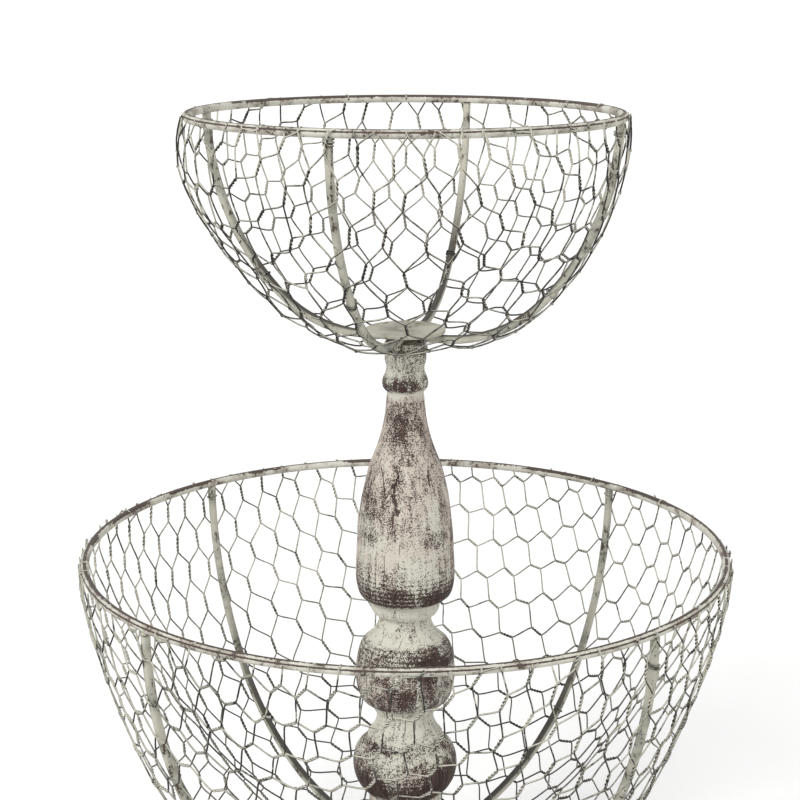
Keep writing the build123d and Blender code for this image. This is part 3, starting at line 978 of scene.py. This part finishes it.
class BASKET_OT_netting(bpy.types.Operator):
    """Dress the hexagonal netting down over the ribs and lash it to them"""

    bl_idname = "basket.netting"
    bl_label = "Netting"

    def execute(self, context):
        for seed, tier in enumerate(TIERS, 3):
            bowl = Bowl(tier)
            strands = netting_strands(bowl, seed)
            sheet = strands.points, strands.faces, wire_paint(tier), "netting_wire"
            mesh_piece(f"{tier}_netting", *sheet, f"{tier}_bowl", (f"{tier}_net",))
            draw = random.Random(seed + 20)
            ties = Strands(6)
            for count in range(RIBS):
                around = bowl.rib_turn + count * math.tau / RIBS
                for share in TIE_SHARES:
                    along = bowl.flat + bowl.arc * (share + draw.uniform(-0.03, 0.03))
                    turns = draw.choice((1, 1, 2))
                    ties.add(lashing(bowl, along, around, turns, draw), sizes().net_wire / 2)
            wound = ties.points, ties.faces, wire_paint(tier), "netting_wire"
            mesh_piece(f"{tier}_lashing", *wound, f"{tier}_bowl")
        collar = Strands(8)
        collar.add(collar_wire(random.Random(31)), sizes().net_wire / 2)
        wound = collar.points, collar.faces, wire_paint("upper"), "netting_wire"
        mesh_piece("collar_lashing", *wound, "stand")
        return {"FINISHED"}


class BASKET_OT_spindle(bpy.types.Operator):
    """Turn the spindle on the lathe"""

    bl_idname = "basket.spindle"
    bl_label = "Spindle"

    def execute(self, context):
        low, high = (corner[2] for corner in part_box("spindle"))
        stations = [(r * MM, low + z * MM, *rest) for r, z, *rest in SPINDLE_STATIONS]
        outline = smooth_outline(stations, 1.2 * MM)
        wood = washed_wood("washed_spindle", low, high, SPINDLE_WEAR_SHARES, SPINDLE_PATCHES)
        turned = *lathe(outline, 112, sizes().wood_wobble, 4.0), wood, "whitewashed_wood"
        mesh_piece("turned_spindle", *turned, "stand", ("spindle",))
        return {"FINISHED"}


# Outline of the spindle in mm: radius, height above its foot; a third value marks a sharp turn
SPINDLE_STATIONS = (
    (4.05, 0, 1),
    (24.0, 0, 1),
    (24.6, 0.8),
    (24.6, 20),
    (24.6, 41, 1),
    (25.8, 41.1, 1),
    (30.5, 45.7),
    (34.0, 52),
    (35.4, 60),
    (34.3, 68),
    (31.2, 74),
    (25.5, 79, 1),
    (25.4, 80.7),
    (25.2, 82.5, 1),
    (22.0, 86.6),
    (19.7, 91.5),
    (18.9, 97),
    (18.95, 98, 1),
    (20.5, 98.9),
    (21.5, 101.2),
    (21.8, 103.5),
    (21.8, 104.9, 1),
    (24.0, 105, 1),
    (28.5, 107.4),
    (31.0, 111.5),
    (32.6, 117),
    (33.3, 126),
    (32.9, 135),
    (31.6, 142),
    (29.3, 147.5),
    (25.9, 151, 1),
    (25.2, 151.2, 1),
    (21.8, 154.6),
    (19.2, 158.5),
    (17.7, 162.5),
    (17.3, 166),
    (17.4, 167, 1),
    (20.6, 168.6),
    (22.5, 171.3),
    (23.2, 174.5),
    (23.2, 179.7, 1),
    (27.2, 179.9, 1),
    (30.0, 182.3),
    (31.6, 186.5),
    (32.6, 192),
    (32.9, 199),
    (32.5, 212),
    (31.1, 231),
    (28.6, 250),
    (24.2, 269),
    (19.6, 281),
    (16.0, 292.5),
    (13.7, 303),
    (12.5, 314),
    (12.1, 320.5, 1),
    (13.2, 321.5),
    (14.6, 323.5),
    (15.0, 326.5),
    (14.4, 329.5),
    (13.2, 332.5),
    (12.3, 335.9, 1),
    (12.6, 338),
    (13.45, 341.5),
    (13.5, 347),
    (13.5, 352.6),
    (13.0, 353.5, 1),
    (2.5, 353.5, 1),
)


class BASKET_OT_foot(bpy.types.Operator):
    """Turn the foot on the lathe"""

    bl_idname = "basket.foot"
    bl_label = "Foot"

    def execute(self, context):
        low, high = (corner[2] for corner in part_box("foot"))
        outline = smooth_outline([(r * MM, z * MM, *rest) for r, z, *rest in foot_stations()], 2.0 * MM)
        wood = washed_wood("washed_foot", low, high, FOOT_WEAR_SHARES)
        turned = *lathe(outline, 144, sizes().wood_wobble, 9.0), wood, "whitewashed_wood"
        mesh_piece("turned_foot", *turned, "stand", ("foot",))
        return {"FINISHED"}


def foot_stations():
    """Outline of the foot in mm: recess, edge, rounded lip, cove and neck."""
    stations = [(4.05, 55, 1), (4.05, 11.1, 1), (15, 11.1, 1), (15, 0, 1), (97, 0, 1)]
    stations += [(98.9, 1.5), (99.65, 3.4), (99.65, 12.6), (99.1, 13.9, 1), (95.1, 14, 1)]
    crest_shade, lip_foot, cove_top = 88, 14, 48
    for k in range(1, 6):
        turn = math.radians(18 * k)
        stations.append((crest_shade + 7 * math.cos(turn), lip_foot + 6 * math.sin(turn)))
    for k in range(1, 13):
        turn = math.radians(7.5 * k)
        stations.append((crest_shade - 63.3 * math.sin(turn), cove_top - 28 * math.cos(turn)))
    neck = (24.7, 47.9, 1), (27.5, 48.1), (27.85, 48.8), (27.85, 54.3), (27.4, 55, 1)
    return (*stations[:-1], *neck, (4.05, 55, 1))


class BASKET_OT_fasteners(bpy.types.Operator):
    """Give the rod, nut, washer and screw their finish"""

    bl_idname = "basket.fasteners"
    bl_label = "Fasteners"

    def execute(self, context):
        finishes = dict.fromkeys(("tie_rod", "foot_washer", "foot_nut"), zinc_steel())
        finishes["top_screw"] = plate_paint()
        for node, material in finishes.items():
            for slot in bpy.data.objects[node].material_slots:
                slot.material = material
        return {"FINISHED"}


def seen_or_mirrored(n):
    """One for rays from the camera, a mirror or a pane, none for the rest."""
    rays = n.add("ShaderNodeLightPath").outputs
    straight = n.math("MAXIMUM", rays["Is Glossy Ray"], rays["Is Transmission Ray"])
    return n.math("MAXIMUM", rays["Is Camera Ray"], straight)


# Stage: half the floor's side, its own glow and the world's light; each sun's name, strength, spread, turn
# from the camera's side (left is below zero) and height, in degrees
FLOOR_HALF = 60.0
FLOOR_GLOW = 0.2
WORLD_LIGHT = 0.55
SUNS = (("key_sun", 1.7, 24.0, -38.0, 42.0), ("fill_sun", 0.45, 50.0, 55.0, 25.0))

# Camera: the picture's side, focal length and shift in pixels, tilt in degrees, and its place in metres,
# with the height above the upper rim
PICTURE = 800
FOCAL = 1755.4
SHIFT = -45.8
TILT = 12.393
ASIDE, BACK, ABOVE_RIM = -0.0035, -1.11225, 0.08966


def lay_floor(scene):
    """A white floor that the camera sees a little brighter than it is lit."""
    mesh = bpy.data.meshes.new("studio_floor")
    corners = [(x * FLOOR_HALF, y * FLOOR_HALF, 0) for x, y in ((-1, -1), (1, -1), (1, 1), (-1, 1))]
    mesh.from_pydata(corners, [], [(0, 1, 2, 3)])
    floor = bpy.data.objects.new("studio_floor", mesh)
    scene.collection.objects.link(floor)
    material, n, surface = new_material("studio_white")
    surface.inputs["Base Color"].default_value = finish().floor
    surface.inputs["Roughness"].default_value = 0.9
    surface.inputs["Specular IOR Level"].default_value = 0.0
    surface.inputs["Emission Color"].default_value = (1, 1, 1, 1)
    n.set(surface, "Emission Strength", n.math("MULTIPLY", seen_or_mirrored(n), FLOOR_GLOW))
    mesh.materials.append(material)


def light_world(scene):
    """Even white light all round, which the camera sees as plain white."""
    world = bpy.data.worlds.new("studio_world")
    scene.world = world
    world.use_nodes = True
    n = Nodes(world.node_tree)
    back = world.node_tree.nodes["Background"]
    back.inputs["Color"].default_value = (1, 1, 1, 1)
    seen = n.math("MULTIPLY", seen_or_mirrored(n), 1 - WORLD_LIGHT)
    n.set(back, "Strength", n.math("ADD", seen, WORLD_LIGHT))


def hang_lamps(scene):
    for name, strength, spread, from_side, from_above in SUNS:
        data = bpy.data.lights.new(name, "SUN")
        data.energy = strength
        data.angle = math.radians(spread)
        lamp = bpy.data.objects.new(name, data)
        lamp.rotation_euler = Euler((math.radians(90 - from_above), 0, math.radians(from_side)))
        scene.collection.objects.link(lamp)


def set_camera(scene):
    data = bpy.data.cameras.new("photo_camera")
    data.sensor_width = 36.0
    data.lens = FOCAL / PICTURE * data.sensor_width
    data.shift_y = SHIFT / PICTURE
    camera = bpy.data.objects.new("photo_camera", data)
    camera.location = (ASIDE, BACK, rim_size("upper", ROD)[1] + ABOVE_RIM)
    camera.rotation_euler = Euler((math.radians(90 - TILT), 0, 0))
    scene.collection.objects.link(camera)
    scene.camera = camera


class BASKET_OT_stage(bpy.types.Operator):
    """Lay the white floor, hang the lamps and set up the camera"""

    bl_idname = "basket.stage"
    bl_label = "Stage"

    def execute(self, context):
        scene = context.scene
        lay_floor(scene)
        light_world(scene)
        hang_lamps(scene)
        set_camera(scene)
        scene.view_settings.view_transform = "Standard"
        return {"FINISHED"}


OPERATORS = (
    BASKET_OT_rims,
    BASKET_OT_ribs,
    BASKET_OT_plates,
    BASKET_OT_netting,
    BASKET_OT_spindle,
    BASKET_OT_foot,
    BASKET_OT_fasteners,
    BASKET_OT_stage,
)


class BASKET_PT_panel(bpy.types.Panel):
    """Sidebar panel of the basket"""

    bl_label = "Tiered wire basket"
    bl_idname = "BASKET_PT_panel"
    bl_space_type = "VIEW_3D"
    bl_region_type = "UI"
    bl_category = "Basket"

    def draw(self, context):
        for operator in OPERATORS:
            self.layout.operator(operator.bl_idname)


CLASSES = (BasketSizes, BasketFinish, *OPERATORS, BASKET_PT_panel)


def register():
    for item in CLASSES:
        bpy.utils.register_class(item)
    bpy.types.Scene.basket_sizes = PointerProperty(type=BasketSizes)
    bpy.types.Scene.basket_finish = PointerProperty(type=BasketFinish)


def unregister():
    del bpy.types.Scene.basket_finish
    del bpy.types.Scene.basket_sizes
    for item in reversed(CLASSES):
        bpy.utils.unregister_class(item)


def main():
    register()
    for operator in OPERATORS:
        group, name = operator.bl_idname.split(".")
        getattr(getattr(bpy.ops, group), name)()


if __name__ == "__main__":
    main()
